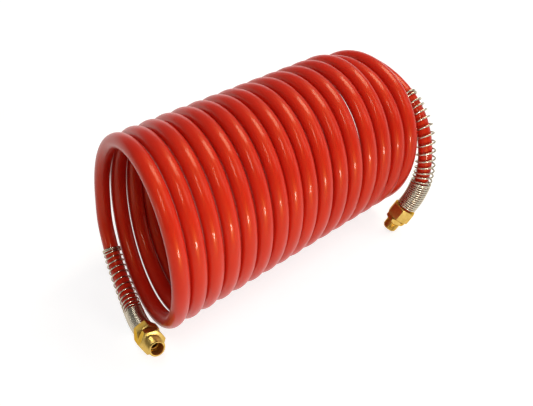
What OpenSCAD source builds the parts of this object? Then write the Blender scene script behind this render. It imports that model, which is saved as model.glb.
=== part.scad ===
// Coiled air hose: a self-retracting nylon hose that lies on its side. Each end has a spring guard
// and a brass male pipe fitting, held by a compression nut over a ferrule and a barbed stem.
// The fitting on the near end swivels, and the one on the far end is fixed.
// Millimetres. The floor is z = 0, the coil's axis runs along X, and the origin lies under a turn
// halfway along the coil.

/* [Hose] */
// Outside diameter of the hose
hose_d = 12.7; // [12.3:0.1:12.9]
// Bore of the hose
hose_bore = 9.5; // [8.8:0.1:9.8]

/* [Coil] */
// Radius of the turns, to the middle of the hose
turn_r = 71; // [66:0.5:76]
// Full turns, back to back
turns = 16; // [8:1:22]
// Distance from one turn to the next along the axis
pitch = 16.4; // [16:0.1:22]
// How far the turns lean along the axis, per millimetre upwards
lean_up = 0.135; // [0:0.005:0.2]
// How far the turns lean along the axis, per millimetre towards the back
lean_back = 0.155; // [0:0.005:0.2]
// Height of the slow wave in the spacing of the turns
drift = 4.5; // [0:0.1:4.8]
// Height of the quick wave in the spacing of the turns
ripple = 1; // [0:0.1:1.1]
// How far the last two turns sag at the top
end_sag = 6.5; // [0:0.5:8]

/* [Spring guards] */
// Diameter of the wire on the swivel end
swivel_wire_d = 1.2; // [1:0.1:1.3]
// Diameter of the wire on the fixed end
fixed_wire_d = 1.4; // [1.1:0.1:1.5]
// Gap all round between the hose and the guard on the swivel end
swivel_guard_play = 0.95; // [0.8:0.05:1.6]
// Gap all round between the hose and the guard on the fixed end
fixed_guard_play = 1.95; // [0.8:0.05:2.2]
// Open curls of the guard on the swivel end
swivel_open_curls = 11; // [6:1:14]
// Open curls of the guard on the fixed end
fixed_open_curls = 14; // [8:1:16]
// Length of the guard's close-wound neck on the swivel end
swivel_neck_len = 35; // [20:1:40]
// Length of the guard's close-wound neck on the fixed end
fixed_neck_len = 29; // [20:1:40]
// Distance from one close-wound curl to the next on the swivel end
swivel_close_pitch = 2.1; // [2.1:0.05:2.4]
// Distance from one close-wound curl to the next on the fixed end
fixed_close_pitch = 2.4; // [2.4:0.05:2.6]

/* [Swivel fitting] */
// Width across the flats of the nut on the swivel end
swivel_nut_af = 17.5; // [17:0.1:19]
// Length of the nut on the swivel end
swivel_nut_len = 10.2; // [8.5:0.1:12]
// Width across the flats of the swivelling connector
connector_af = 18; // [17.2:0.1:21]
// Length of the swivelling connector's hexagon
connector_hex_len = 7.2; // [6.5:0.1:9]
// Radius of the stem's neck, which the connector turns on
neck_r = 5.2; // [5:0.1:5.4]
// Thickness of the thrust washer
washer_t = 0.6; // [0.4:0.1:1]
// Section of the sealing ring
seal_d = 1.5; // [1.2:0.1:1.6]

/* [Fixed fitting] */
// Width across the flats of the nut on the fixed end
fixed_nut_af = 20.6; // [19.6:0.1:23]
// Length of the nut on the fixed end
fixed_nut_len = 12.5; // [9:0.1:14]
// Width across the flats of the fixed connector's wrench hexagon
body_af = 17.4; // [15.5:0.1:19]
// Length of the fixed connector's wrench hexagon
body_hex_len = 4.3; // [3:0.1:8]

/* [Pipe thread] */
// Major diameter of the pipe thread, taken as a straight pin
thread_d = 13.7; // [13.2:0.1:14.2]
// Length of the thread on the swivelling connector
swivel_thread_len = 10.8; // [8:0.1:16]
// Length of the thread on the fixed connector
fixed_thread_len = 9.6; // [8:0.1:12]
// Bore in the threaded end
end_bore = 9.4; // [8:0.1:9.8]
// Bore through the stems
stem_bore = 6.4; // [5:0.1:7]

/* [Clearances] */
// Radial clearance of the swivel's neck in its socket
run_clear = 0.05; // [0.03:0.01:0.09]
// Clearance between other pieces that stay apart
clear = 0.1; // [0.05:0.05:0.15]

/* [Hidden] */

hose_r = hose_d / 2;
bore_r = hose_bore / 2;
// The lowest turns are cut flat where they stand, a tenth of the hose deep
flat_cut = hose_d / 10;
axis_z = turn_r + hose_r - flat_cut;
drift_turns = 16;
drift_peak = 0.2;
ripple_turns = 6;
ripple_peak = -0.3;
first_turn = -0.25;
last_turn = first_turn + turns;
rest_turn = floor(turns / 2) - 0.5;
sagging_turns = 2.25;
coil_rings = 24;
coil_sides = 6;
lead_sides = 12;
lead_ring_gap = 9;
curl_rings = 8;
curl_sides = 4;
closed_curls = 2;
// The open curls draw together towards both ends, and more towards the neck
open_swell = 0.04;
open_lean = 0.12;

// Where the swivel end's nut starts, and where its axis points: degrees round Z and above the floor
swivel_seat = [-129.2, -38.3, 14.9];
swivel_turn = -99.4;
swivel_rise = 22;
// The hose from the coil to the swivel end's nut
swivel_route = [[-103.5, 65, 46], [-107, 55, 32.5], [-111, 43, 22.5], [-114.5, 29, 15.5],
                [-117.8, 15, 11.2], [-121, 1.5, 9], [-124, -10.5, 8.7], [-126.3, -20.5, 9.1]];
// Where the fixed end's nut starts, and where its axis points
fixed_seat = [131.8, -80, 27.3];
fixed_turn = 152.9;
fixed_rise = -58.9;
// The hose from the coil to the fixed end's nut
fixed_route = [[167, 65, 105], [168.5, 52, 120.5], [168, 33.5, 129], [166, 14, 131.5], [164, -5, 131],
               [161.8, -23, 128], [160, -41, 121], [157.3, -56.5, 111.5], [153.5, -69.5, 98.5],
               [149.5, -78, 82], [146.2, -82.8, 65], [142.2, -84.2, 50]];

// Barbed stems, ferrules and nuts are alike on both ends
barb_len = 15;
barb_plain = 3;
barb_root_r = bore_r - 0.9;
barb_top_r = bore_r - 0.15;
barbs = 4;
hose_seat = 7;
ferrule_t = 0.9;
ferrule_len = 5;
ferrule_play = 0.35;
ferrule_edge = 0.6;
nut_throat_r = hose_r + ferrule_play;
nut_bore_r = hose_r + ferrule_t + ferrule_play;
nut_lip = 1.6;
// The corners of a hexagon are turned off from just inside its flats
face_inset = 0.2;
corner_drop = 0.6;
// A tightened nut stops short of the shoulder, and faces that run on each other nearly touch
nut_gap = 0.3;
face_gap = 0.02;
edge_cut = 0.5;
// Cutters start and end this far outside what they cut
over = 1;
shoulder_len = 2;
shoulder_r = 7.4;
spigot_r = nut_bore_r - clear;
neck_len = connector_hex_len + shoulder_len;
seal_place = 2.2;
snap_place = 1.4;
socket_room = 0.6;
ring_groove_len = seal_d + 2 * clear;
ring_groove_r = neck_r - seal_d + run_clear;
snap_wire_r = 0.5;
snap_groove_len = 2 * snap_wire_r + 2 * clear;
thread_mouth = 1.3;
// How far each hexagon was turned when it was tightened or let go
swivel_nut_spin = -13;
connector_spin = 22;
fixed_nut_spin = 8;
body_spin = 27;

function unit(v) = v / norm(v);
function heading(turn, rise) = [cos(turn) * cos(rise), sin(turn) * cos(rise), sin(rise)];
function last_of(list) = list[len(list) - 1];

// ---- Tubes -------------------------------------------------------------------------------------
// One ring of a tube: its first corner points along "out", square to the tube's direction
function tube_ring(at, dir, out, r, sides) =
    let (a = unit(cross(dir, cross(out, dir))), b = cross(unit(dir), a))
    [for (k = [0 : sides - 1]) at + r * (cos(360 * k / sides) * a + sin(360 * k / sides) * b)];

// A closed tube through rings that each have the same number of corners
module tube(rings) {
    sides = len(rings[0]);
    count = len(rings);
    walls = [for (i = [0 : count - 2], k = [0 : sides - 1])
        let (a = i * sides + k, b = i * sides + (k + 1) % sides)
        each [[a, a + sides, b + sides], [a, b + sides, b]]];
    back = [for (k = [1 : sides - 2]) [0, k, k + 1]];
    top = (count - 1) * sides;
    front = [for (k = [1 : sides - 2]) [top, top + k + 1, top + k]];
    polyhedron(points = [for (ring = rings) each ring], faces = concat(back, walls, front));
}

// ---- The coil ----------------------------------------------------------------------------------
// How far a turn lies from its even place along the axis
function wander(u) = drift * cos(360 * (u - drift_peak) / drift_turns)
                   + ripple * cos(360 * (u - ripple_peak) / ripple_turns);
function along(u) = u * pitch - lean_up * turn_r + wander(u);
shift_x = -along(rest_turn);

// The middle of the hose after u turns, where u = 0 is the top of the first turn
function coil_point(u) =
    let (back = -turn_r * sin(360 * u), up = turn_r * cos(360 * u),
         sag = u > last_turn - sagging_turns ? end_sag * pow(max(cos(360 * u), 0), 2) : 0)
    [shift_x + u * pitch + lean_back * back + lean_up * up + wander(u), back, up - sag + axis_z];
function coil_dir(u) = unit(coil_point(u + 0.001) - coil_point(u - 0.001));
function coil_out(u) = [0, -sin(360 * u), cos(360 * u)];
coil_start = coil_point(first_turn);
coil_end = coil_point(last_turn);
start_dir = coil_dir(first_turn);
end_dir = coil_dir(last_turn);

function coil_rings_list() =
    [for (i = [0 : turns * coil_rings])
        let (u = first_turn + i / coil_rings)
        tube_ring(coil_point(u), coil_dir(u), coil_out(u), hose_r, coil_sides)];

// Least gap between one turn and the next, measured on points
coil_gaps = [for (i = [0 : 2 : (turns - 1) * coil_rings])
    let (u = first_turn + i / coil_rings)
    min([for (j = [-4 : 4]) norm(coil_point(u + 1 + j / 200) - coil_point(u))]) - hose_d];
echo(least_gap_between_turns = min(coil_gaps));
echo(hose_length = turns * norm([2 * PI * turn_r, pitch]));

module hose_coil() {
    color([0.84, 0.13, 0.1])
    difference() {
        tube(coil_rings_list());
        translate([shift_x - 3 * pitch, -turn_r, -hose_d])
            cube([(turns + 6) * pitch, 2 * turn_r, hose_d]);
    }
}

// ---- The hose's free ends ----------------------------------------------------------------------
// A smooth curve that a list of points draws towards itself, from the second to the last but one
function drawn_point(a, b, c, d, t) =
    (pow(1 - t, 3) * a + (3 * t * t * t - 6 * t * t + 4) * b
        + (3 * t + 3 * t * t - 3 * t * t * t + 1) * c + t * t * t * d) / 6;
function smooth(p, steps = 6) =
    [for (i = [1 : len(p) - 3], k = [0 : steps - 1])
        drawn_point(p[i - 1], p[i], p[i + 1], p[i + 2], k / steps)];
// The same points, each with its distance along the curve in front of it
function measured(p) = [for (i = 0, s = 0; i < len(p);
    s = s + (i < len(p) - 1 ? norm(p[i + 1] - p[i]) : 0), i = i + 1) [s, p[i]]];
function place(line, s) = [for (k = [0 : 2]) lookup(s, [for (m = line) [m[0], m[1][k]]])];
function line_len(line) = last_of(line)[0];
// Past either end the direction is the end's own
function line_dir(line, s) =
    let (a = max(s - 1, 0), b = min(s + 1, line_len(line)))
    unit(place(line, b) - place(line, a));

swivel_dir = heading(swivel_turn, swivel_rise);
fixed_dir = heading(fixed_turn, fixed_rise);
// Each end carries on the bend of the turn that it leaves, for one diameter, and it is straight for
// one diameter up to its end inside the nut
carry = hose_d / (2 * PI * turn_r);
straight = hose_d - hose_seat;
settle = 5;
function lead_line(u, way, route, seat, dir) =
    let (at = coil_point(u), before = coil_point(u - way * carry), after = coil_point(u + way * carry),
         lift = [0, 0, u > 0 ? end_sag * pow(sin(360 * carry), 2) : 0],
         stop = seat - straight * dir,
         p = concat([before, 1.5 * at - (before + after + lift) / 4, after + lift], route,
                    [stop - settle * dir, stop, stop + settle * dir]))
    measured(concat(smooth(p), [stop, seat, seat + hose_seat * dir]));
swivel_line = lead_line(first_turn, -1, swivel_route, swivel_seat, swivel_dir);
fixed_line = lead_line(last_turn, 1, fixed_route, fixed_seat, fixed_dir);
// Least gap between each end of the hose and the turns, from one and a half diameters off the coil
function least_to_coil(line) =
    min([for (m = line) if (m[0] > 1.5 * hose_d)
        min([for (i = [0 : turns * coil_rings]) norm(coil_point(first_turn + i / coil_rings) - m[1])])])
    - hose_d;
echo(least_gap_to_turns = [least_to_coil(swivel_line), least_to_coil(fixed_line)]);
echo(swivel_lead_length = line_len(swivel_line), fixed_lead_length = line_len(fixed_line));

module hose_lead(line, start_dir, seat, dir) {
    len_all = line_len(line);
    count = ceil(len_all / lead_ring_gap);
    rings = [for (i = [0 : count])
        let (s = len_all * i / count,
             way = i == 0 ? start_dir : i == count ? dir : line_dir(line, s))
        tube_ring(place(line, s), way, [1, 0, 0], hose_r, lead_sides)];
    color([0.84, 0.13, 0.1])
    difference() {
        tube(rings);
        translate(seat) point_along(dir)
            translate([0, 0, hose_seat - barb_len - over])
                cylinder(r = bore_r, h = barb_len + 2 * over, $fn = 48);
    }
}

module hose_lead_swivel_end() { hose_lead(swivel_line, -start_dir, swivel_seat, swivel_dir); }
module hose_lead_fixed_end() { hose_lead(fixed_line, end_dir, fixed_seat, fixed_dir); }

// ---- Spring guards -----------------------------------------------------------------------------
// Distance from the guard's free end after w curls: closed, then open, then close
function curl_place(w, open_curls, open_len, close_pitch) =
    let (q = min(max(w - closed_curls, 0), open_curls) / open_curls)
    min(w, closed_curls) * close_pitch
    + open_len * (q + open_lean * q * (1 - q) - open_swell * sin(360 * q))
    + max(w - closed_curls - open_curls, 0) * close_pitch;

module spring_guard(line, play, wire_d, open_curls, open_len, neck_len, close_pitch) {
    neck_curls = floor(neck_len / close_pitch);
    curls = closed_curls + open_curls + neck_curls;
    wire_r = wire_d / 2;
    wind_r = hose_r + play + wire_r;
    whole = curl_place(curls, open_curls, open_len, close_pitch);
    first = line_len(line) - hose_seat - clear - wire_r - whole;
    function at(w) = first + curl_place(w, open_curls, open_len, close_pitch);
    function out(w) = let (d = line_dir(line, at(w)), a = unit(cross(d, cross([1, 0, 0], d))))
        cos(360 * w) * a + sin(360 * w) * cross(d, a);
    function wire(w) = place(line, at(w)) + wind_r * out(w);
    step = 1 / curl_rings;
    points = [for (i = [0 : curls * curl_rings]) wire(i * step)];
    count = len(points);
    rings = [for (i = [0 : count - 1])
        let (way = unit(points[min(i + 1, count - 1)] - points[max(i - 1, 0)]))
        tube_ring(points[i], way, out(i * step), wire_r, curl_sides)];
    gaps = [for (i = [0 : count - 1 - curl_rings]) norm(points[i + curl_rings] - points[i]) - wire_d];
    echo(curls = curls, least_gap_between_curls = min(gaps));
    color([0.72, 0.7, 0.64]) tube(rings);
}

swivel_open_len = 57;
fixed_open_len = 77;
module spring_guard_swivel_end() {
    spring_guard(swivel_line, swivel_guard_play, swivel_wire_d, swivel_open_curls, swivel_open_len,
                 swivel_neck_len, swivel_close_pitch);
}
module spring_guard_fixed_end() {
    spring_guard(fixed_line, fixed_guard_play, fixed_wire_d, fixed_open_curls, fixed_open_len,
                 fixed_neck_len, fixed_close_pitch);
}

// ---- Brass fittings ----------------------------------------------------------------------------
// Children drawn along +Z are turned to point along "dir"
module point_along(dir) {
    rotate([0, acos(dir[2]), atan2(dir[1], dir[0])]) children();
}
module at_swivel_end() { translate(swivel_seat) point_along(swivel_dir) children(); }
module at_fixed_end() { translate(fixed_seat) point_along(fixed_dir) children(); }

// A hexagon with its corners turned off at both ends
module hexagon(af, len, spin) {
    corner_r = af / sqrt(3);
    edge_r = af / 2 - face_inset;
    outer_r = corner_r + clear;
    intersection() {
        rotate([0, 0, spin]) cylinder(r = corner_r, h = len, $fn = 6);
        rotate_extrude($fn = 96)
            polygon([[0, 0], [edge_r, 0], [outer_r, corner_drop], [outer_r, len - corner_drop],
                     [edge_r, len], [0, len]]);
    }
}

// Nut over the ferrule and the stem's spigot: a narrow throat for the hose, then a wide bore
module compression_nut(af, len, spin) {
    color([0.8, 0.62, 0.22])
    difference() {
        hexagon(af, len, spin);
        translate([0, 0, -over]) cylinder(r = nut_throat_r, h = len + 2 * over, $fn = 96);
        translate([0, 0, nut_lip]) cylinder(r = nut_bore_r, h = len, $fn = 96);
    }
}
module nut_swivel_end() {
    at_swivel_end() compression_nut(swivel_nut_af, swivel_nut_len, swivel_nut_spin);
}
module nut_fixed_end() {
    at_fixed_end() compression_nut(fixed_nut_af, fixed_nut_len, fixed_nut_spin);
}

// Sleeve that the nut squeezes onto the hose
module ferrule() {
    color([0.78, 0.66, 0.36])
    translate([0, 0, nut_lip + clear])
        rotate_extrude($fn = 96)
            polygon([[hose_r + clear, 0], [nut_bore_r - ferrule_play, 0],
                     [nut_bore_r - clear, ferrule_edge],
                     [nut_bore_r - clear, ferrule_len - 2 * ferrule_edge],
                     [hose_r + ferrule_play, ferrule_len], [hose_r + clear, ferrule_len]]);
}
module ferrule_swivel_end() { at_swivel_end() ferrule(); }
module ferrule_fixed_end() { at_fixed_end() ferrule(); }

// Outline of a barbed spigot, up to the shoulder that the hose stops against
function barb_outline() =
    let (root = hose_seat - barb_len, step = (barb_len - barb_plain) / barbs)
    concat([[barb_root_r, root]],
           [for (i = [0 : barbs - 1]) each [[barb_top_r, root + (i + 0.75) * step],
                                            [barb_root_r, root + (i + 1) * step]]],
           [[barb_root_r, hose_seat + clear]]);

// The swivel end's stem: barbs in the hose, a spigot in the nut, a shoulder, and the neck
shoulder_start = swivel_nut_len + nut_gap;
stem_face = shoulder_start + shoulder_len;
neck_start = stem_face + washer_t + clear;
neck_end = neck_start + neck_len;
seal_z = neck_start + seal_place;
snap_z = neck_end - snap_place;
module swivel_stem() {
    color([0.8, 0.62, 0.22])
    at_swivel_end()
        rotate_extrude($fn = 96)
            polygon(concat([[stem_bore / 2, hose_seat - barb_len]], barb_outline(),
                [[spigot_r, hose_seat + clear], [spigot_r, shoulder_start],
                 [shoulder_r - edge_cut, shoulder_start], [shoulder_r, shoulder_start + edge_cut],
                 [shoulder_r, stem_face - edge_cut], [shoulder_r - edge_cut, stem_face], [neck_r, stem_face],
                 [neck_r, seal_z - ring_groove_len / 2], [ring_groove_r, seal_z - ring_groove_len / 2],
                 [ring_groove_r, seal_z + ring_groove_len / 2], [neck_r, seal_z + ring_groove_len / 2],
                 [neck_r, snap_z - snap_groove_len / 2],
                 [neck_r - snap_wire_r - clear, snap_z - snap_groove_len / 2],
                 [neck_r - snap_wire_r - clear, snap_z + snap_groove_len / 2],
                 [neck_r, snap_z + snap_groove_len / 2], [neck_r, neck_end - edge_cut],
                 [neck_r - edge_cut, neck_end], [stem_bore / 2, neck_end]]));
}

module swivel_thrust_washer() {
    color([0.92, 0.92, 0.9])
    at_swivel_end() translate([0, 0, stem_face + face_gap])
        difference() {
            cylinder(r = shoulder_r - edge_cut - clear, h = washer_t, $fn = 96);
            translate([0, 0, -over]) cylinder(r = neck_r + clear, h = washer_t + 2 * over, $fn = 96);
        }
}

module swivel_seal_ring() {
    color([0.08, 0.08, 0.08])
    at_swivel_end() translate([0, 0, seal_z])
        rotate_extrude($fn = 96)
            translate([neck_r + run_clear - face_gap - seal_d / 2, 0])
                circle(d = seal_d - 2 * face_gap, $fn = 32);
}

// Open wire ring that keeps the connector on the neck
module swivel_snap_ring() {
    color([0.75, 0.75, 0.75])
    at_swivel_end() translate([0, 0, snap_z])
        rotate_extrude(angle = 330, $fn = 96)
            translate([neck_r, 0]) circle(r = snap_wire_r, $fn = 24);
}

// Threaded end of a connector, as a straight pin with a chamfered tip
module threaded_end(len) {
    cylinder(d = thread_d, h = len - thread_mouth, $fn = 96);
    translate([0, 0, len - thread_mouth])
        cylinder(d1 = thread_d, d2 = thread_d - 2 * thread_mouth, h = thread_mouth, $fn = 96);
}

// The connector that a user turns onto a tool or a line
connector_start = neck_start + face_gap;
socket_r = neck_r + run_clear;
socket_end = neck_end + socket_room;
swivel_tip = connector_start + connector_hex_len + swivel_thread_len;
module swivel_connector() {
    color([0.83, 0.65, 0.24])
    at_swivel_end()
        difference() {
            union() {
                translate([0, 0, connector_start]) hexagon(connector_af, connector_hex_len, connector_spin);
                translate([0, 0, connector_start + connector_hex_len - edge_cut])
                    threaded_end(swivel_thread_len + edge_cut);
            }
            translate([0, 0, connector_start - over])
                cylinder(r = socket_r, h = socket_end - connector_start + over, $fn = 96);
            translate([0, 0, connector_start])
                cylinder(d = end_bore, h = swivel_tip - connector_start + over, $fn = 96);
            translate([0, 0, snap_z - snap_groove_len / 2])
                cylinder(r = neck_r + snap_wire_r + clear, h = snap_groove_len, $fn = 96);
        }
}

// The fixed end's connector: barbs, spigot, wrench hexagon and thread in one piece
fixed_hex_start = fixed_nut_len + nut_gap;
fixed_tip = fixed_hex_start + body_hex_len + fixed_thread_len;
step_depth = 2;
module fixed_connector() {
    color([0.83, 0.65, 0.24])
    at_fixed_end()
        difference() {
            union() {
                rotate_extrude($fn = 96)
                    polygon(concat([[0, hose_seat - barb_len]], barb_outline(),
                        [[spigot_r, hose_seat + clear], [spigot_r, fixed_hex_start + edge_cut],
                         [0, fixed_hex_start + edge_cut]]));
                translate([0, 0, fixed_hex_start]) hexagon(body_af, body_hex_len, body_spin);
                translate([0, 0, fixed_hex_start + body_hex_len - edge_cut])
                    threaded_end(fixed_thread_len + edge_cut);
            }
            translate([0, 0, hose_seat - barb_len - over])
                cylinder(d = stem_bore, h = fixed_tip + barb_len, $fn = 96);
            translate([0, 0, fixed_hex_start + step_depth])
                cylinder(d = end_bore, h = fixed_tip - fixed_hex_start, $fn = 96);
        }
}

hose_coil();
hose_lead_swivel_end();
hose_lead_fixed_end();
spring_guard_swivel_end();
spring_guard_fixed_end();
nut_swivel_end();
ferrule_swivel_end();
swivel_stem();
swivel_seal_ring();
swivel_thrust_washer();
swivel_snap_ring();
swivel_connector();
nut_fixed_end();
ferrule_fixed_end();
fixed_connector();
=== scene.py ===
"""Looks of a coiled air hose: one seamless nylon tube, two wound spring guards and two brass fittings.

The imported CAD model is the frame. Everything is in metres, in the CAD's own axes: the floor is z = 0,
the coil's axis runs along X, and the two fittings are at the front, towards -Y. Only the fittings are
drawn in millimetres, each along its own axis from where its nut starts.
"""
import math

import bmesh
import bpy
import numpy as np
from mathutils import Matrix, Vector


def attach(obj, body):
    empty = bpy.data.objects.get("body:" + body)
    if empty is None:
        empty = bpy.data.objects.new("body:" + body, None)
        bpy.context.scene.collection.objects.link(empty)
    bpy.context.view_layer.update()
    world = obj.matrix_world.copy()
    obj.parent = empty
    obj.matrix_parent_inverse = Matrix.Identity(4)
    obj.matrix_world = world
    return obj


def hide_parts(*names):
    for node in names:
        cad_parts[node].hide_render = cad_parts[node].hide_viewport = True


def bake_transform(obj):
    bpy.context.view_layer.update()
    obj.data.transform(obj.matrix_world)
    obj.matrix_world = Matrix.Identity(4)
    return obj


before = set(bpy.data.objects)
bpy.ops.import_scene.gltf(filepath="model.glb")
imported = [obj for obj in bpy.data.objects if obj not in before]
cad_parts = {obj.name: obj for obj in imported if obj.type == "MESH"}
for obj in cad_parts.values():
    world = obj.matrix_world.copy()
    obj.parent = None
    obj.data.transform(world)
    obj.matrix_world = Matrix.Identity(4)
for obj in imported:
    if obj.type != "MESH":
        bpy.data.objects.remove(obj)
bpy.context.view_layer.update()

MM = 0.001

# ---- Camera --------------------------------------------------------------------------------------
PHOTO_AZIMUTH = math.radians(-40.249)
PHOTO_ELEVATION = math.radians(39.005)
CAMERA_DISTANCE = 0.4843
CAMERA_RIGHT, CAMERA_UP = 0.02032, -0.01893
CAMERA_LENS = 37.967
SENSOR_WIDTH = 36
COIL_AXIS = np.array([0.0, 0.0, 0.07608])


def view_axes(azimuth, elevation):
    """Right, up and backward directions of a camera that looks at the object from there."""
    back = np.array([
        math.sin(azimuth) * math.cos(elevation),
        -math.cos(azimuth) * math.cos(elevation),
        math.sin(elevation),
    ])
    right = np.array([math.cos(azimuth), math.sin(azimuth), 0.0])
    return right, np.cross(back, right), back


def make_camera():
    right, up, back = view_axes(PHOTO_AZIMUTH, PHOTO_ELEVATION)
    place = COIL_AXIS + CAMERA_RIGHT * right + CAMERA_UP * up + CAMERA_DISTANCE * back
    data = bpy.data.cameras.new("camera")
    data.sensor_fit = "HORIZONTAL"
    data.sensor_width = SENSOR_WIDTH
    data.lens = CAMERA_LENS
    data.clip_start = 0.01
    data.clip_end = 20
    camera = bpy.data.objects.new("camera", data)
    bpy.context.scene.collection.objects.link(camera)
    matrix = np.eye(4)
    matrix[:3, 0], matrix[:3, 1], matrix[:3, 2], matrix[:3, 3] = right, up, back, place
    camera.matrix_world = Matrix(matrix.tolist())
    bpy.context.scene.camera = camera


make_camera()

# ---- The hose's line, as in the CAD --------------------------------------------------------------
HOSE_D = 0.0127
HOSE_BORE = 0.0095
TURN_R = 0.071
TURNS = 16
PITCH = 0.0164
LEAN_UP, LEAN_BACK = 0.135, 0.155
DRIFT, DRIFT_TURNS, DRIFT_PEAK = 0.0045, 16, 0.2
RIPPLE, RIPPLE_TURNS, RIPPLE_PEAK = 0.001, 6, -0.3
END_SAG, SAGGING_TURNS = 0.0065, 2.25
FLOOR_FLAT = 0.1
FIRST_TURN = -0.25
LAST_TURN = FIRST_TURN + TURNS
REST_TURN = TURNS // 2 - 0.5
# How far the hose goes into its nut, and how straight it is just before
HOSE_SEAT = 0.007
SETTLE = 0.005
LEAD_STEPS = 24

# Each end: where its nut starts, and where its axis points in degrees round Z and above the floor
SWIVEL_SEAT = (-0.1292, -0.0383, 0.0149)
SWIVEL_HEADING = (-99.4, 22.0)
FIXED_SEAT = (0.1318, -0.08, 0.0273)
FIXED_HEADING = (152.9, -58.9)
# Points that draw the hose towards them between the coil and the nut
SWIVEL_ROUTE = [
    (-0.1035, 0.065, 0.046), (-0.107, 0.055, 0.0325), (-0.111, 0.043, 0.0225), (-0.1145, 0.029, 0.0155),
    (-0.1178, 0.015, 0.0112), (-0.121, 0.0015, 0.009), (-0.124, -0.0105, 0.0087), (-0.1263, -0.0205, 0.0091),
]
FIXED_ROUTE = [
    (0.167, 0.065, 0.105), (0.1685, 0.052, 0.1205), (0.168, 0.0335, 0.129), (0.166, 0.014, 0.1315),
    (0.164, -0.005, 0.131), (0.1618, -0.023, 0.128), (0.160, -0.041, 0.121), (0.1573, -0.0565, 0.1115),
    (0.1535, -0.0695, 0.0985), (0.1495, -0.078, 0.082), (0.1462, -0.0828, 0.065), (0.1422, -0.0842, 0.050),
]


def wander(u):
    """How far a turn lies from its even place along the axis."""
    return (DRIFT * np.cos(2 * np.pi * (u - DRIFT_PEAK) / DRIFT_TURNS)
            + RIPPLE * np.cos(2 * np.pi * (u - RIPPLE_PEAK) / RIPPLE_TURNS))


def along(u):
    return u * PITCH - LEAN_UP * TURN_R + wander(u)


def coil_point(u):
    """Middle of the hose after u turns; u may be an array."""
    u = np.asarray(u, float)
    back = -TURN_R * np.sin(2 * np.pi * u)
    up = TURN_R * np.cos(2 * np.pi * u)
    sag = np.where(u > LAST_TURN - SAGGING_TURNS, END_SAG * np.maximum(np.cos(2 * np.pi * u), 0) ** 2, 0)
    x = u * PITCH + LEAN_BACK * back + LEAN_UP * up + wander(u) - along(REST_TURN)
    return np.stack([x, back, up - sag + TURN_R + (0.5 - FLOOR_FLAT) * HOSE_D], -1)


def heading(turn, rise):
    turn, rise = math.radians(turn), math.radians(rise)
    return np.array([math.cos(turn) * math.cos(rise), math.sin(turn) * math.cos(rise), math.sin(rise)])


def drawn(points, steps):
    """Curve that the points draw towards themselves, from the second to the last but one."""
    t = np.arange(steps)[:, None] / steps
    weights = ((1 - t) ** 3, 3 * t**3 - 6 * t**2 + 4, 3 * t + 3 * t**2 - 3 * t**3 + 1, t**3)
    runs = zip(points, points[1:], points[2:], points[3:])
    return np.concatenate([sum(w * point for w, point in zip(weights, run)) / 6 for run in runs])


def even(points, gap):
    """The same line with evenly spaced points about gap apart, and the distance along it of each."""
    s = np.r_[0, np.cumsum(np.linalg.norm(np.diff(points, axis=0), axis=1))]
    at = np.linspace(0, s[-1], max(int(round(s[-1] / gap)), 2) + 1)
    return np.stack([np.interp(at, s, points[:, k]) for k in range(3)], -1), at


def lead_line(u, way, route, seat, turn_and_rise):
    """Free end of the hose, from the coil to where it stops inside the nut."""
    carry = HOSE_D / (2 * np.pi * TURN_R)
    seat, to = np.array(seat), heading(*turn_and_rise)
    at, before, after = coil_point(u), coil_point(u - way * carry), coil_point(u + way * carry)
    if u > 0:
        after = after + [0, 0, END_SAG * math.sin(2 * math.pi * carry) ** 2]
    stop = seat - (HOSE_D - HOSE_SEAT) * to
    settle = SETTLE * to
    start = [before, 1.5 * at - (before + after) / 4, after]
    points = [*start, *np.array(route), stop - settle, stop, stop + settle]
    return np.concatenate([drawn(points, LEAD_STEPS), [stop, seat, seat + HOSE_SEAT * to]])


swivel_line = lead_line(FIRST_TURN, -1, SWIVEL_ROUTE, SWIVEL_SEAT, SWIVEL_HEADING)
fixed_line = lead_line(LAST_TURN, 1, FIXED_ROUTE, FIXED_SEAT, FIXED_HEADING)

# ---- Mesh helpers --------------------------------------------------------------------------------


def new_piece(name, verts, faces, smooth=True, uv=None):
    """Mesh object from points and faces; uv is one pair for each face corner."""
    mesh = bpy.data.meshes.new(name)
    mesh.from_pydata([tuple(v) for v in verts], [], faces)
    if uv is not None:
        layer = mesh.uv_layers.new(name="along")
        layer.data.foreach_set("uv", np.asarray(uv, np.float32).ravel())
    mesh.update()
    if smooth:
        mesh.shade_smooth()
    piece = bpy.data.objects.new(name, mesh)
    bpy.context.scene.collection.objects.link(piece)
    return piece


def carried_frames(points):
    """Two directions across the line at each point, carried along it without twist, from X at its start."""
    tangents = np.gradient(points, axis=0)
    tangents /= np.linalg.norm(tangents, axis=1)[:, None]
    a = np.empty_like(points)
    out = np.array([1.0, 0.0, 0.0])
    for i, t in enumerate(tangents):
        out = out - (out @ t) * t
        out /= np.linalg.norm(out)
        a[i] = out
    return a, np.cross(tangents, a)


def rings_round(a, b, sides):
    """Unit circles across a line, one for each pair of directions."""
    turn = np.arange(sides) * 2 * np.pi / sides
    return np.cos(turn)[None, :, None] * a[:, None] + np.sin(turn)[None, :, None] * b[:, None]


def tube_faces(rings, sides):
    """Quads between rings of points and two end caps, and the quads' uv corners in ring and side counts."""
    i, k = np.meshgrid(np.arange(rings - 1), np.arange(sides), indexing="ij")
    i, k = i.ravel(), k.ravel()
    n = (k + 1) % sides
    faces = np.stack([i * sides + k, (i + 1) * sides + k, (i + 1) * sides + n, i * sides + n], -1).tolist()
    last = (rings - 1) * sides
    faces += [list(range(sides)), [last + k for k in reversed(range(sides))]]
    corners = np.stack([np.stack([i + di, k + dk], -1) for di, dk in ((0, 0), (1, 0), (1, 1), (0, 1))], 1)
    return faces, corners


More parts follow.
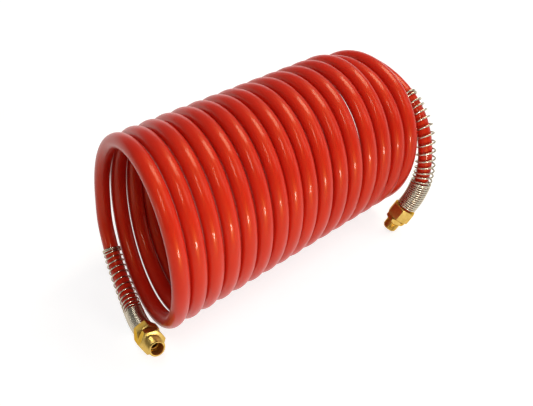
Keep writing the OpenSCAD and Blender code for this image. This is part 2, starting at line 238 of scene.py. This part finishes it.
def tube_uv(corners, reach, girth, sides):
    """The uv of a tube in metres: reach is how far along each ring lies. Each cap has one uv point."""
    uv = np.stack([reach[corners[..., 0]], corners[..., 1] * (girth / sides)], -1).reshape(-1, 2)
    return np.concatenate([uv, np.tile(uv[:1], (sides, 1)), np.tile(uv[-1:], (sides, 1))])


def line_reach(points):
    return np.r_[0, np.cumsum(np.linalg.norm(np.diff(points, axis=0), axis=1))]


# ---- The hose ------------------------------------------------------------------------------------
HOSE_SIDES = 32
RINGS_PER_TURN = 160
LEAD_RING_GAP = 0.003
BORE_DEPTH = 0.022
# A wound hose is a little flattened: wider along the coil's axis, as (turns, share), and narrower across it
OVAL_ALONG = [(8, 0.08), (9, 0.12), (13.3, 0.12), (14, 0.08)]
OVAL_ACROSS = -0.055
OVAL_EASE_TURNS = 0.3
# How far the wound turns lie out of their even places along the axis: (turns, millimetres)
UNEVEN = [
    (0.0, 0.0), (0.9, -0.6), (1.1, -1.0), (1.3, -0.7), (1.45, 0.0), (1.6, -0.1), (1.8, 0.0), (2.1, -0.7),
    (2.6, -0.4), (3.0, -0.5), (4.2, -0.8), (5.2, -0.9), (6.2, -0.2), (6.6, 0.0), (7.1, 0.8), (7.25, 0.1),
    (8.08, 1.7), (8.25, 0.2), (8.6, 0.2), (9.08, 1.8), (9.25, -0.1), (9.6, -0.4), (10.08, 0.6), (10.25, -0.8),
    (10.6, -0.9), (11.08, -1.5), (11.25, -2.2), (11.6, -1.4), (12.08, -1.5), (12.25, -2.0), (12.6, -1.0),
    (13.1, -1.7), (13.3, -1.0), (14.0, 0.0),
]
UNEVEN_EASE_TURNS = 0.06


def unevenness(u):
    near = np.linspace(-UNEVEN_EASE_TURNS, UNEVEN_EASE_TURNS, 9)
    table = np.array(UNEVEN)
    return np.interp(u[:, None] + near, table[:, 0], table[:, 1] * MM).mean(1)


def flattened(ring, a, b, share):
    """The hose's rings with the wound ones a little oval; share is 0 and 1 at the coil's two ends."""
    forward = np.cross(a, b)
    axial = np.array([1.0, 0, 0]) - forward * forward[:, :1]
    axial /= np.linalg.norm(axial, axis=1)[:, None]
    flat = np.clip(np.minimum(share, 1 - share) * TURNS / OVAL_EASE_TURNS, 0, 1)[:, None, None]
    along_share = np.interp(FIRST_TURN + TURNS * share, *np.array(OVAL_ALONG).T)[:, None, None]
    for way, amount in ((axial, along_share), (np.cross(forward, axial), OVAL_ACROSS)):
        ring = ring + flat * amount * (ring * way[:, None]).sum(2)[..., None] * way[:, None]
    return ring


def make_hose():
    """Coil and both free ends as one tube, open where its ends sit on the barbs."""
    start, _ = even(swivel_line[::-1], LEAD_RING_GAP)
    u = np.linspace(FIRST_TURN, LAST_TURN, TURNS * RINGS_PER_TURN + 1)
    turns = coil_point(u)
    turns[:, 0] += unevenness(u)
    end, _ = even(fixed_line, LEAD_RING_GAP)
    line = np.concatenate([start[:-1], turns, end[1:]])
    share = np.concatenate([np.zeros(len(start) - 1), np.linspace(0, 1, len(turns)), np.ones(len(end) - 1)])
    reach = line_reach(line)
    a, b = carried_frames(line)
    # The tube's inner wall shows through the stems' bores, so each end is folded back inside itself
    inner = int(np.searchsorted(reach, BORE_DEPTH))

    def folded(values):
        return np.concatenate([values[inner:0:-1], values, values[-2:-inner - 2:-1]])

    points, share, a, b = folded(line), folded(share), folded(a), folded(b)
    radius = np.full(len(points), HOSE_D / 2)
    radius[:inner] = radius[-inner:] = HOSE_BORE / 2
    ring = flattened(rings_round(a, b, HOSE_SIDES), a, b, share)
    verts = (points[:, None] + radius[:, None, None] * ring).reshape(-1, 3)
    # The hose gives a little where it stands
    verts[:, 2] = np.maximum(verts[:, 2], 0.0)
    faces, corners = tube_faces(len(points), HOSE_SIDES)
    piece = new_piece("hose", verts, faces, uv=tube_uv(corners, folded(reach), np.pi * HOSE_D, HOSE_SIDES))
    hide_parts("hose_coil", "hose_lead_swivel_end", "hose_lead_fixed_end")
    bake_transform(piece)
    return piece, line, reach[-1]


hose, hose_path, hose_length = make_hose()

# ---- Spring guards -------------------------------------------------------------------------------
CLOSED_CURLS = 2
OPEN_SWELL, OPEN_LEAN = 0.04, 0.12
GUARD_GAP = 0.0001
GUARD_FLARE = 0.7
GUARD_LINE_GAP = 0.001
SLACK_EASE = 0.02
CURL_POINTS = 36
WIRE_SIDES = 12


def bend_of(middle, step):
    """How sharply the line bends at each point, and which way, as a mean over two curls."""
    bend = np.gradient(np.gradient(middle, axis=0), axis=0) / step ** 2
    window = np.ones(2 * CURL_POINTS + 1) / (2 * CURL_POINTS + 1)
    padded = np.pad(bend, ((CURL_POINTS, CURL_POINTS), (0, 0)), mode="edge")
    return np.stack([np.convolve(padded[:, k], window, "valid") for k in range(3)], -1)


def make_guard(name, node, body, line, mouth_d, outside_d, wire_d, open_curls, open_len, neck_len,
               close_pitch, slack):
    """Wound wire round a free end: two closed curls, open ones, then a close-wound neck at the nut.

    It opens from mouth_d at the closed curls to outside_d at the neck. Where the hose bends it lies towards
    the inside of the bend, so the guard stands out by slack there.
    """
    line, s = even(line, GUARD_LINE_GAP)
    a, b = carried_frames(line)
    curls = CLOSED_CURLS + open_curls + int(neck_len / close_pitch)
    w = np.linspace(0, curls, curls * CURL_POINTS + 1)
    q = np.clip(w - CLOSED_CURLS, 0, open_curls) / open_curls
    far = (np.minimum(w, CLOSED_CURLS) * close_pitch
           + open_len * (q + OPEN_LEAN * q * (1 - q) - OPEN_SWELL * np.sin(2 * np.pi * q))
           + np.maximum(w - CLOSED_CURLS - open_curls, 0) * close_pitch)
    at = s[-1] - HOSE_SEAT - GUARD_GAP - wire_d / 2 - far[-1] + far
    middle, across, over = (np.stack([np.interp(at, s, v[:, k]) for k in range(3)], -1) for v in (line, a, b))
    ease = np.clip((s[-1] - HOSE_SEAT - at) / SLACK_EASE, 0, 1)[:, None]
    middle = middle - slack * ease * bend_of(middle, np.mean(np.diff(at)))
    angle = 2 * np.pi * w
    wind = np.cos(angle)[:, None] * across + np.sin(angle)[:, None] * over
    outside = mouth_d + (outside_d - mouth_d) * np.clip(w / (CLOSED_CURLS + open_curls), 0, 1) ** GUARD_FLARE
    points = middle + (outside / 2 - wire_d / 2)[:, None] * wind
    verts = points[:, None] + wire_d / 2 * rings_round(*carried_frames(points), WIRE_SIDES)
    faces, corners = tube_faces(len(points), WIRE_SIDES)
    uv = tube_uv(corners, line_reach(points), np.pi * wire_d, WIRE_SIDES)
    piece = new_piece(name, verts.reshape(-1, 3), faces, uv=uv)
    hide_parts(node)
    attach(piece, body)
    return piece


swivel_guard = make_guard(
    "guard_wire_swivel_end", "spring_guard_swivel_end", "coil", swivel_line,
    mouth_d=0.0159, outside_d=0.0159, wire_d=0.00125, open_curls=12, open_len=0.0630,
    neck_len=0.0285, close_pitch=0.00132, slack=0)
fixed_guard = make_guard(
    "guard_wire_fixed_end", "spring_guard_fixed_end", "free_end", fixed_line,
    mouth_d=0.0162, outside_d=0.0194, wire_d=0.0016, open_curls=14, open_len=0.0795,
    neck_len=0.031, close_pitch=0.0021, slack=0.00002)

# ---- Brass fittings, in millimetres --------------------------------------------------------------
BEVEL_ANGLE, SMOOTH_ANGLE = 28, 35
NUT_EDGE = 0.07
MERGE_GAP = 1e-4
CHAMFER, WIDE_CHAMFER = 0.3, 0.4


def at_end(seat, turn_and_rise, spin):
    """Placement of a fitting: local +Z along its axis, from where the nut starts."""
    turn, rise = turn_and_rise
    return (Matrix.Translation(seat) @ Matrix.Rotation(math.radians(turn), 4, "Z")
            @ Matrix.Rotation(math.radians(90 - rise), 4, "Y") @ Matrix.Rotation(math.radians(spin), 4, "Z"))


def bevel_edges(piece, width):
    """Small bevels along the sharp edges, so that they catch the light."""
    bm = bmesh.new()
    bm.from_mesh(piece.data)
    limit = math.radians(BEVEL_ANGLE)
    edges = [e for e in bm.edges if len(e.link_faces) == 2 and e.calc_face_angle() > limit]
    bmesh.ops.bevel(bm, geom=edges, offset=width, segments=2, profile=0.6, affect="EDGES", clamp_overlap=True)
    bm.to_mesh(piece.data)
    bm.free()


def rows_piece(name, rows, edge=0.0):
    """Closed ring-shaped solid: each row is one ring of points."""
    rows = np.array(rows) * MM
    count, sides = rows.shape[:2]
    i, k = np.meshgrid(np.arange(count), np.arange(sides), indexing="ij")
    i, k = i.ravel(), k.ravel()
    j, n = (i + 1) % count, (k + 1) % sides
    faces = np.stack([i * sides + k, i * sides + n, j * sides + n, j * sides + k], -1).tolist()
    piece = new_piece(name, rows.reshape(-1, 3), faces)
    bm = bmesh.new()
    bm.from_mesh(piece.data)
    bmesh.ops.remove_doubles(bm, verts=bm.verts, dist=MERGE_GAP * MM)
    bmesh.ops.dissolve_degenerate(bm, edges=bm.edges, dist=MERGE_GAP * MM)
    bmesh.ops.recalc_face_normals(bm, faces=bm.faces)
    bm.to_mesh(piece.data)
    bm.free()
    if edge:
        bevel_edges(piece, edge * MM)
    piece.data.shade_smooth()
    piece.data.set_sharp_from_angle(angle=math.radians(SMOOTH_ANGLE))
    return piece


def ring_row(angles, radius, z):
    """One row of points; radius and z may differ with the angle."""
    a = np.radians(angles)
    r = np.broadcast_to(radius, a.shape)
    return np.stack([r * np.cos(a), r * np.sin(a), np.broadcast_to(z, a.shape)], -1)


FLAT_STEPS, CORNER_STEPS = 8, 4
CORNER_HALF = 3.0
CORNER_R = 1.0
FACE_INSET = 0.4
FACE_SLOPE = math.tan(math.radians(30))


def hex_outline(af):
    """Angles and radii round a hexagon with rounded corners; the angles are the same for every size."""
    flat, angles = af / 2, []
    for middle in range(30, 390, 60):
        angles += list(np.linspace(middle - 30 + CORNER_HALF, middle + 30 - CORNER_HALF, FLAT_STEPS + 1))
        angles += list(middle + 30 + np.linspace(-CORNER_HALF, CORNER_HALF, CORNER_STEPS + 1)[1:-1])
    angles = np.array(angles)
    off = (angles % 60) - 30
    radii = flat / np.cos(np.radians(off))
    # The corners are worn down to a little below where the flats would meet
    corner = np.abs(np.abs(off) - 30)
    stretch = 1 / math.cos(math.radians(30))
    top = flat / math.cos(math.radians(30)) - CORNER_R * (stretch - 1)
    return angles, np.minimum(radii, top + 0.5 * CORNER_R * (corner / 30))


def hex_rows(af, z0, z1):
    """Rows of a hexagon from one turned face to the other, with both sets of corners turned off."""
    angles, radii = hex_outline(af)
    face = af / 2 - FACE_INSET
    drop = (radii - face) * FACE_SLOPE
    return angles, [ring_row(angles, face, z0), ring_row(angles, radii, z0 + drop),
                    ring_row(angles, radii, z1 - drop), ring_row(angles, face, z1)]


THREAD_R = 6.85
THREAD_PITCH = 1.411
THREAD_DEPTH = 0.8
THREAD_TAPER = 1 / 32
THREAD_CHAMFER = 1.3
THREAD_GROWTH_TURNS = 0.9
# One turn of the thread: share of the pitch, and share of the depth there
THREAD_FORM = [(0.03, 0.0), (0.10, 0.06), (0.40, 0.88), (0.47, 1.0), (0.53, 1.0), (0.60, 0.88), (0.90, 0.06),
               (0.97, 0.0)]
# The relief between hexagon and thread: how far its edge stands over the thread, where its slope and it end
RELIEF_EDGE, RELIEF_SLOPE_END, RELIEF_END = 0.25, 0.6, 0.9
TIP_MARGIN, TIP_STEP, TIP_COUNTERSINK = 0.15, 0.05, 0.5
END_BORE_R = 4.7


def thread_rows(angles, z0, z1):
    """Rows of a tapered pipe thread, which grows out of a relief and ends in a chamfered tip."""
    rows = []
    for turn in range(-1, int((z1 - z0) / THREAD_PITCH) + 2):
        for phase, height in THREAD_FORM:
            z = np.clip(z0 + THREAD_PITCH * (turn + phase + angles / 360), z0, z1)
            crest = THREAD_R - (z - z0) * THREAD_TAPER
            fade = np.clip((z - z0) / (THREAD_GROWTH_TURNS * THREAD_PITCH), 0, 1)
            r = crest - THREAD_DEPTH * (1 - height * fade)
            tip = THREAD_R - THREAD_CHAMFER + (z1 - z)
            rows.append(ring_row(angles, np.minimum(r, tip), z))
    return rows


def male_end_rows(angles, start, tip):
    """Rows of a threaded end from its hexagon to its tip and a little way into its bore."""
    return [ring_row(angles, THREAD_R + RELIEF_EDGE, start),
            ring_row(angles, THREAD_R - THREAD_DEPTH, start + RELIEF_SLOPE_END),
            *thread_rows(angles, start + RELIEF_END, tip - TIP_MARGIN),
            ring_row(angles, THREAD_R - THREAD_CHAMFER - TIP_STEP, tip),
            ring_row(angles, END_BORE_R + CHAMFER, tip), ring_row(angles, END_BORE_R, tip - TIP_COUNTERSINK)]


def paint_bore_shade(piece, radius):
    """Gives the faces inside a radius the second material, a darker brass that paints shade into the bore."""
    for face in piece.data.polygons:
        reach = max(math.hypot(*piece.data.vertices[v].co[:2]) for v in face.vertices)
        face.material_index = int(reach < radius * MM)


def place_brass(piece, body, node, seat, direction, spin=0.0):
    piece.matrix_world = at_end(seat, direction, spin)
    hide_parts(node)
    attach(piece, body)
    return piece


HOSE_R = HOSE_D / MM / 2
HOSE_STOP = HOSE_SEAT / MM
HOSE_PLAY, SPIGOT_PLAY = 0.35, 0.1
FERRULE_WALL = 0.9
NUT_THROAT_R = HOSE_R + HOSE_PLAY
NUT_BORE_R = HOSE_R + FERRULE_WALL + HOSE_PLAY
NUT_LIP = 1.6
NUT_GAP = 0.3
SPIGOT_R = NUT_BORE_R - SPIGOT_PLAY
SPIGOT_START = HOSE_STOP + SPIGOT_PLAY
STEM_BORE_R, STEM_SIDES = 3.2, 96
BARB_LEN, BARB_COUNT, BARB_PLAIN = 15, 4, 3
# Where a barb reaches its full height and where it drops again, as shares of its length
BARB_TOP, BARB_DROP = 0.75, 0.8
BARB_ROOT_R = HOSE_BORE / MM / 2 - 0.9
BARB_TOP_R = HOSE_BORE / MM / 2 - 0.15
BARB_START = HOSE_STOP - BARB_LEN


def make_nut(name, node, body, af, length, seat, direction, spin):
    """Compression nut: throat for the hose at the back, wide bore over the ferrule and the spigot."""
    angles, rows = hex_rows(af, 0, length)
    rows = [ring_row(angles, NUT_THROAT_R, WIDE_CHAMFER), ring_row(angles, NUT_THROAT_R + WIDE_CHAMFER, 0),
            *rows, ring_row(angles, NUT_BORE_R + CHAMFER, length),
            ring_row(angles, NUT_BORE_R, length - CHAMFER), ring_row(angles, NUT_BORE_R, NUT_LIP),
            ring_row(angles, NUT_THROAT_R, NUT_LIP)]
    return place_brass(rows_piece(name, rows, NUT_EDGE), body, node, seat, direction, spin)


def barbed_spigot(spigot_end):
    """Profile from the stem's inner end over its barbs to the end of the spigot, as (radius, height)."""
    step = (BARB_LEN - BARB_PLAIN) / BARB_COUNT
    points = [(STEM_BORE_R, BARB_START), (BARB_ROOT_R - CHAMFER, BARB_START),
              (BARB_ROOT_R, BARB_START + CHAMFER)]
    for i in range(BARB_COUNT):
        points += [(BARB_TOP_R, BARB_START + (i + BARB_TOP) * step),
                   (BARB_TOP_R, BARB_START + (i + BARB_DROP) * step),
                   (BARB_ROOT_R, BARB_START + (i + 1) * step)]
    return points + [(BARB_ROOT_R, SPIGOT_START), (SPIGOT_R, SPIGOT_START), (SPIGOT_R, spigot_end)]


# The swivel fitting along its axis: nut, shoulder, washer, then the neck that the connector turns on
SWIVEL_NUT_AF, SWIVEL_NUT_LEN = 17.5, 10.2
CONNECTOR_AF, CONNECTOR_HEX_LEN = 18, 7.2
SWIVEL_THREAD_LEN = 10.8
SHOULDER_START = SWIVEL_NUT_LEN + NUT_GAP
SHOULDER_R, SHOULDER_LEN = 7.4, 2
# How far the shoulder's rounded rim lies inside its radius, and how far along
SHOULDER_RIM = [(0.45, 0), (0.2, 0.12), (0.05, 0.4), (0, 0.8), (0.03, 1.2), (0.2, 1.6), (0.5, 1.88), (0.9, 2)]
STEM_FACE = SHOULDER_START + SHOULDER_LEN
WASHER_SPACE = 0.7
NECK_R, NECK_PAST_HEX = 5.2, 2
NECK_START = STEM_FACE + WASHER_SPACE
NECK_END = NECK_START + CONNECTOR_HEX_LEN + NECK_PAST_HEX
SEAL_Z, SEAL_HALF, SEAL_DEPTH = NECK_START + 2.2, 0.9, 1.45
SNAP_Z, SNAP_HALF, SNAP_DEPTH = NECK_END - 1.4, 0.6, 0.6
# The connector's socket: play round the neck, gap before it and room past its end
SOCKET_PLAY, SOCKET_GAP, SOCKET_ROOM = 0.05, 0.02, 0.6
SOCKET_R = NECK_R + SOCKET_PLAY
# Faces inside this radius get the darker brass, which is painted shade in the bore
SWIVEL_BORE_SHADE_R = THREAD_R - 1.4


def groove(radius, middle, half, depth):
    """Four points of a square groove, or of one in a bore where depth is negative."""
    return [(radius, middle - half), (radius - depth, middle - half),
            (radius - depth, middle + half), (radius, middle + half)]


def make_stem():
    """Swivel stem: barbs in the hose, spigot in the nut, rounded shoulder, grooved neck."""
    rim = [(SHOULDER_R - inset, SHOULDER_START + far) for inset, far in SHOULDER_RIM]
    profile = [
        *barbed_spigot(SHOULDER_START), *rim, (NECK_R, STEM_FACE),
        *groove(NECK_R, SEAL_Z, SEAL_HALF, SEAL_DEPTH), *groove(NECK_R, SNAP_Z, SNAP_HALF, SNAP_DEPTH),
        (NECK_R, NECK_END - WIDE_CHAMFER), (NECK_R - WIDE_CHAMFER, NECK_END),
        (STEM_BORE_R + CHAMFER, NECK_END), (STEM_BORE_R, NECK_END - CHAMFER)]
    angles = np.linspace(0, 360, STEM_SIDES, endpoint=False)
    piece = rows_piece("stem_swivel_end", [ring_row(angles, r, z) for r, z in profile])
    return place_brass(piece, "coil", "swivel_stem", SWIVEL_SEAT, SWIVEL_HEADING)


def make_swivel_connector(spin):
    """Hexagon and tapered thread that turn on the stem's neck, with a socket at the back."""
    start = NECK_START + SOCKET_GAP
    hex_end = start + CONNECTOR_HEX_LEN
    socket_end = NECK_END + SOCKET_ROOM
    angles, rows = hex_rows(CONNECTOR_AF, start, hex_end)
    snap_groove = groove(SOCKET_R, SNAP_Z, SNAP_HALF, SOCKET_R - NECK_R - SNAP_DEPTH)
    rows = [ring_row(angles, SOCKET_R, start + CHAMFER), ring_row(angles, SOCKET_R + CHAMFER, start), *rows,
            *male_end_rows(angles, hex_end, hex_end + SWIVEL_THREAD_LEN),
            ring_row(angles, END_BORE_R, socket_end), ring_row(angles, SOCKET_R, socket_end),
            *(ring_row(angles, r, z) for r, z in reversed(snap_groove))]
    piece = rows_piece("connector_swivel_end", rows)
    paint_bore_shade(piece, SWIVEL_BORE_SHADE_R)
    return place_brass(piece, "swivel", "swivel_connector", SWIVEL_SEAT, SWIVEL_HEADING, spin)


# The fixed fitting along its axis: nut, hexagon and thread; its wide bore ends at a step in the hexagon
FIXED_NUT_AF, FIXED_NUT_LEN = 20.6, 12.5
BODY_AF, BODY_HEX_LEN = 17.4, 4.3
FIXED_THREAD_LEN = 9.6
BORE_STEP = 2
# Faces inside this radius get the darker brass, which is painted shade in the bore
FIXED_BORE_SHADE_R = END_BORE_R + 0.1


def make_fixed_connector(spin):
    """Barbs, spigot, wrench hexagon and tapered thread in one piece."""
    start = FIXED_NUT_LEN + NUT_GAP
    hex_end = start + BODY_HEX_LEN
    bore_end = start + BORE_STEP
    angles, rows = hex_rows(BODY_AF, start, hex_end)
    rows = [*(ring_row(angles, r, z) for r, z in barbed_spigot(start)), *rows,
            *male_end_rows(angles, hex_end, hex_end + FIXED_THREAD_LEN),
            ring_row(angles, END_BORE_R, bore_end), ring_row(angles, STEM_BORE_R, bore_end)]
    piece = rows_piece("connector_fixed_end", rows)
    paint_bore_shade(piece, FIXED_BORE_SHADE_R)
    return place_brass(piece, "free_end", "fixed_connector", FIXED_SEAT, FIXED_HEADING, spin)


swivel_nut = make_nut("compression_nut_swivel_end", "nut_swivel_end", "coil", SWIVEL_NUT_AF, SWIVEL_NUT_LEN,
                      SWIVEL_SEAT, SWIVEL_HEADING, spin=-13)
fixed_nut = make_nut("compression_nut_fixed_end", "nut_fixed_end", "free_end", FIXED_NUT_AF, FIXED_NUT_LEN,
                     FIXED_SEAT, FIXED_HEADING, spin=8)
stem = make_stem()
swivel_connector = make_swivel_connector(spin=22)
fixed_connector = make_fixed_connector(spin=27)

# ---- Materials -----------------------------------------------------------------------------------
NYLON_REDS = [(0.3, (0.58, 0.014, 0.007)), (0.7, (0.64, 0.020, 0.008))]
WIRE_NICKELS = [(0.3, (0.50, 0.43, 0.32)), (0.7, (0.65, 0.58, 0.45))]
FLOOR_GREYS = [(0.3, (0.42, 0.42, 0.42)), (0.7, (0.44, 0.44, 0.44))]
# Share of the floor's white that is its own near the object, and where it starts to rise and reaches 1
FLOOR_OWN_WHITE = 0.78
FLOOR_RISE_START, FLOOR_RISE_END = 0.4, 1.1


class Nodes:
    """Short way to write the node tree of a material or a world."""

    def __init__(self, owner, shader="Principled BSDF"):
        owner.use_nodes = True
        self.owner = owner
        self.tree = owner.node_tree
        self.shader = self.tree.nodes[shader]

    def fill(self, socket, value):
        if isinstance(value, bpy.types.NodeSocket):
            self.tree.links.new(value, socket)
        else:
            socket.default_value = value

    def add(self, kind, inputs=None, **settings):
        node = self.tree.nodes.new("ShaderNode" + kind)
        for key, value in settings.items():
            setattr(node, key, value)
        for key, value in (inputs or {}).items():
            self.fill(node.inputs[key], value)
        return node

    def set(self, **values):
        """Inputs of the shader, by their names with _ for a space."""
        for key, value in values.items():
            self.fill(self.shader.inputs[key.replace("_", " ")], value)

    def ramp(self, value, stops):
        """Colour ramp through two (position, colour) stops."""
        node = self.add("ValToRGB", {"Fac": value})
        for element, (position, colour) in zip(node.color_ramp.elements, stops):
            element.position = position
            element.color = (*colour, 1)
        return node.outputs["Color"]

    def spread(self, value, at_0, at_1):
        """Maps a noise of 0 to 1 onto a range."""
        return self.add("MapRange", {"Value": value, "To Min": at_0, "To Max": at_1}).outputs["Result"]

    def math(self, operation, first, second):
        return self.add("Math", {0: first, 1: second}, operation=operation).outputs[0]

    def noise(self, vector, scale, detail, roughness=0.5):
        inputs = {"Vector": vector, "Scale": scale, "Detail": detail, "Roughness": roughness}
        return self.add("TexNoise", inputs).outputs["Fac"]

    def stretched(self, vector, scale):
        return self.add("Mapping", {"Vector": vector, "Scale": scale}).outputs["Vector"]

    def bump(self, height, strength, distance):
        node = self.add("Bump", {"Height": height, "Strength": strength, "Distance": distance})
        return node.outputs["Normal"]

    def along(self):
        """Place along a tube and round it."""
        return self.add("UVMap", uv_map="along").outputs["UV"]

    def place(self):
        return self.add("TexCoord").outputs["Object"]


def material_nodes(name):
    return Nodes(bpy.data.materials.new(name))


def nylon():
    """Glossy, slightly translucent red nylon tube with faint lines along it from the extruder."""
    n = material_nodes("hose_nylon_red")
    uv = n.along()
    cloud = n.noise(n.place(), scale=22, detail=3)
    lines = n.noise(n.stretched(uv, (4, 900, 1)), scale=1, detail=3)
    scuff = n.noise(n.stretched(uv, (60, 220, 1)), scale=1, detail=4, roughness=0.6)
    n.set(Base_Color=n.ramp(cloud, NYLON_REDS), Roughness=n.spread(scuff, 0.34, 0.44), IOR=1.42,
          Normal=n.bump(lines, strength=0.03, distance=0.0001),
          Subsurface_Weight=0.2, Subsurface_Scale=0.003, Subsurface_Radius=(1.0, 0.12, 0.05),
          Coat_Weight=0.3, Coat_Roughness=0.11, Coat_IOR=1.42)
    # Under the clear surface the wall throws back a broad, orange reflection of the lamps
    n.set(Specular_IOR_Level=0.6, Specular_Tint=(1.0, 0.46, 0.06, 1))
    return n.owner


def plated_wire():
    """Nickel-plated spring wire with drawing marks along it."""
    n = material_nodes("guard_wire_nickel")
    uv = n.along()
    lines = n.noise(n.stretched(uv, (30, 6000, 1)), scale=1, detail=2)
    patches = n.noise(n.stretched(uv, (90, 700, 1)), scale=1, detail=3)
    n.set(Base_Color=n.ramp(patches, WIRE_NICKELS), Metallic=1.0, Roughness=n.spread(patches, 0.20, 0.30),
          Normal=n.bump(lines, strength=0.2, distance=0.00003))
    return n.owner


def brass(name, light, dark, rough, ring_scale=2600):
    """Turned brass: fine rings round the axis, and a thin uneven tarnish."""
    n = material_nodes(name)
    place = n.place()
    rings = n.noise(n.stretched(place, (40, 40, ring_scale)), scale=1, detail=2)
    tarnish = n.noise(place, scale=260, detail=4, roughness=0.6)
    n.set(Base_Color=n.ramp(tarnish, [(0.35, dark), (0.62, light)]), Metallic=1.0,
          Roughness=n.spread(tarnish, rough + 0.08, rough - 0.04), Specular_Tint=(0.9, 0.62, 0.22, 1),
          Normal=n.bump(rings, strength=0.25, distance=0.00004))
    return n.owner


def plain(name, light, dark, rough, metallic=0.0):
    """Small inner pieces: two close colours, uneven gloss and a fine grain."""
    n = material_nodes(name)
    grain = n.noise(n.place(), scale=500, detail=4, roughness=0.6)
    n.set(Base_Color=n.ramp(grain, [(0.35, dark), (0.65, light)]), Metallic=metallic,
          Roughness=n.spread(grain, rough - 0.06, rough + 0.08),
          Normal=n.bump(grain, strength=0.2, distance=0.00004))
    return n.owner


def floor_material():
    """White floor that still shows the object's shadow: part of the white is its own, seen directly."""
    n = material_nodes("floor_white")
    place = n.place()
    rays = n.add("LightPath").outputs
    seen = n.math("MAXIMUM", n.math("MAXIMUM", rays["Is Camera Ray"], rays["Is Glossy Ray"]),
                  rays["Is Transmission Ray"])
    # Away from the object the lamps light it less, so more of the white is its own
    far = n.add("VectorMath", {0: place}, operation="LENGTH").outputs["Value"]
    own = n.add("MapRange", {"Value": far, "From Min": FLOOR_RISE_START, "From Max": FLOOR_RISE_END,
                             "To Min": FLOOR_OWN_WHITE, "To Max": 1.0}).outputs["Result"]
    n.set(Base_Color=n.ramp(n.noise(place, scale=40, detail=3), FLOOR_GREYS), Roughness=0.8,
          Specular_IOR_Level=0.1, Emission_Color=(1, 1, 1, 1),
          Emission_Strength=n.math("MULTIPLY", seen, own))
    return n.owner


def wear(piece, *materials):
    for material in materials:
        piece.data.materials.append(material)


wire = plated_wire()
machined = brass("brass_machined", (0.68, 0.46, 0.13), (0.57, 0.37, 0.09), rough=0.31)
# Darker, rougher brass for the bores: its darker colour is painted shade inside them
shaded_bore_brass = brass("brass_painted_bore_shade", (0.72, 0.38, 0.13), (0.50, 0.25, 0.07), rough=0.42)
wear(hose, nylon())
for piece in (swivel_guard, fixed_guard):
    wear(piece, wire)
for piece in (swivel_nut, fixed_nut, stem, swivel_connector, fixed_connector):
    wear(piece, machined, shaded_bore_brass)

ferrule_brass = brass("brass_ferrule", (0.78, 0.63, 0.30), (0.58, 0.45, 0.20), rough=0.36, ring_scale=1800)
CAD_MATERIALS = {
    "ferrule_swivel_end": ferrule_brass,
    "ferrule_fixed_end": ferrule_brass,
    "swivel_seal_ring": plain("rubber_black", (0.035, 0.035, 0.035), (0.02, 0.02, 0.02), rough=0.5),
    "swivel_thrust_washer": plain("acetal_white", (0.86, 0.86, 0.83), (0.78, 0.78, 0.75), rough=0.4),
    "swivel_snap_ring": plain("steel_bright", (0.66, 0.66, 0.66), (0.5, 0.5, 0.5), rough=0.28, metallic=1.0),
}
for node, material in CAD_MATERIALS.items():
    for material_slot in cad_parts[node].material_slots:
        material_slot.material = material

# ---- Floor and light -----------------------------------------------------------------------------
FLOOR_HALF = 6.0
FLOOR_GAP = 0.0001
CEILING = 0.14
LAMP_TARGET = Vector((0, 0, 0.076))
# Name, azimuth and elevation from the object (azimuth 0 is in front), distance, size, brightness, colour
LAMPS = [
    ("softbox_right", 97, 58, 0.9, (0.36, 0.46), 7.5, (1.0, 0.92, 0.76)),
    ("softbox_front", 48, 42, 1.1, (0.45, 0.5), 2.0, (1.0, 0.97, 0.92)),
    ("strip_front", -35, 62, 0.9, (0.14, 0.34), 11, (1.0, 1.0, 1.0)),
    ("strip_left", -94, 17, 0.9, (0.12, 0.18), 5, (1.0, 1.0, 1.0)),
    ("lamp_front", -12, 9, 0.5, (0.115, 0.055), 46, (1.0, 0.97, 0.92)),
]


def make_floor():
    corners = [(x * FLOOR_HALF, y * FLOOR_HALF, 0) for x, y in ((-1, -1), (1, -1), (1, 1), (-1, 1))]
    floor = new_piece("floor", corners, [(0, 1, 2, 3)], smooth=False)
    floor.location.z = -FLOOR_GAP
    wear(floor, floor_material())


def area_light(name, azimuth, elevation, distance, size, brightness, colour):
    """Lamp that looks at the object; brightness is what a mirror shows of it."""
    data = bpy.data.lights.new(name, "AREA")
    data.shape = "RECTANGLE"
    data.size, data.size_y = size
    data.energy = brightness * math.pi * size[0] * size[1]
    data.color = colour
    light = bpy.data.objects.new(name, data)
    bpy.context.scene.collection.objects.link(light)
    back = Vector(view_axes(math.radians(azimuth), math.radians(elevation))[2])
    light.location = LAMP_TARGET + distance * back
    light.rotation_euler = back.to_track_quat("Z", "Y").to_euler()


def make_world():
    """Pale all round near the horizon and dimmer above, as in a studio with a white sweep."""
    world = bpy.data.worlds.new("studio")
    bpy.context.scene.world = world
    n = Nodes(world, "Background")
    rise = n.add("SeparateXYZ", {"Vector": n.add("TexCoord").outputs["Generated"]}).outputs["Z"]
    strength = n.add("MapRange", {"Value": rise, "From Min": 0.04, "From Max": 0.40, "To Min": 1.0,
                                  "To Max": CEILING}, interpolation_type="SMOOTHSTEP").outputs["Result"]
    n.set(Color=(1, 1, 1, 1), Strength=strength)


make_floor()
make_world()
for lamp in LAMPS:
    area_light(*lamp)
bpy.context.scene.view_settings.view_transform = "Standard"

bpy.context.view_layer.update()
